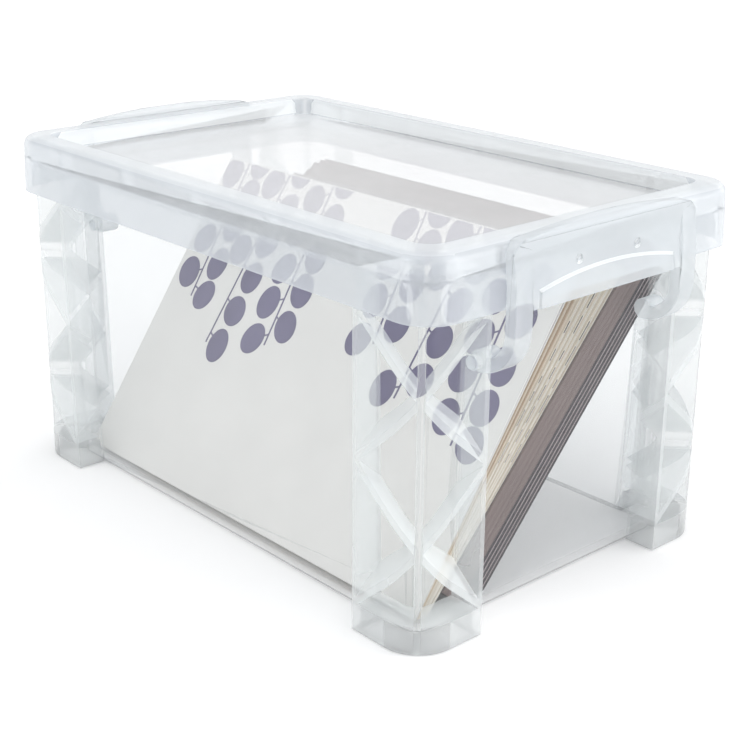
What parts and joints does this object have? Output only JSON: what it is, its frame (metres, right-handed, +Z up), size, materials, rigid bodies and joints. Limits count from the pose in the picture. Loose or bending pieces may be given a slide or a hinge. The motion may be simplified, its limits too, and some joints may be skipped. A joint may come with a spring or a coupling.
{
  "type": "latching card storage box",
  "caption": "Clear latching storage box for note cards: braced corner posts, clip-on recessed lid, swing latches at the short ends, and a leaning stack of cards.",
  "frame": {"origin": "centre of the base, on the surface that the box stands on", "axes": "+X along the long side towards latch_1, +Y along the short side, +Z up"},
  "size_m": [0.1588, 0.097, 0.0869],
  "materials": {
    "tub_plastic": "clear, glossy moulded polypropylene with a slight blue cast",
    "lid_plastic": "semi-clear, slightly frosted moulded polypropylene",
    "latch_plastic": "milky, semi-clear moulded polypropylene, smooth",
    "printed_card_stock": "smooth white card with a grey-violet print",
    "cream_paper": "matt cream paper",
    "mauve_paper": "matt mauve-brown paper",
    "dark_card_stock": "matt dark plum card",
    "liner_paper": "matt pale grey paper"
  },
  "bodies": {
    "tub": {"tub_shell": "tub_plastic", "corner_post_1": "tub_plastic", "corner_post_2": "tub_plastic", "corner_post_3": "tub_plastic", "corner_post_4": "tub_plastic", "printed_card": "printed_card_stock", "cream_envelope_1": "cream_paper", "cream_envelope_2": "cream_paper", "cream_envelope_3": "cream_paper", "cream_envelope_4": "cream_paper", "cream_envelope_5": "cream_paper", "cream_envelope_6": "cream_paper", "cream_envelope_7": "cream_paper", "cream_envelope_8": "cream_paper", "envelope_pack": "mauve_paper", "dark_card_1": "dark_card_stock", "dark_card_2": "dark_card_stock", "dark_card_3": "dark_card_stock", "dark_card_4": "dark_card_stock", "dark_card_5": "dark_card_stock", "card_liner_1": "liner_paper", "card_liner_2": "liner_paper", "card_liner_3": "liner_paper", "card_liner_4": "liner_paper"},
    "lid": {"lid": "lid_plastic"},
    "latch_1": {"latch_1": "latch_plastic"},
    "latch_2": {"latch_2": "latch_plastic"}
  },
  "joints": [
    {"name": "lid_lift", "type": "slide", "parent": "tub", "child": "lid", "axis": [0, 0, 1], "range_m": [0, 0.03]},
    {"name": "latch_1_swing", "type": "hinge", "parent": "tub", "child": "latch_1", "pos_m": [0.0698, 0, 0.0595], "axis": [0, 1, 0], "range_deg": [0, 105]},
    {"name": "latch_2_swing", "type": "hinge", "parent": "tub", "child": "latch_2", "pos_m": [-0.0698, 0, 0.0595], "axis": [0, -1, 0], "range_deg": [0, 105]}
  ],
  "couplings": [
    {"joint": "latch_1_swing", "follows": "lid_lift", "rad_per_m": 61},
    {"joint": "latch_2_swing", "follows": "lid_lift", "rad_per_m": 61}
  ]
}
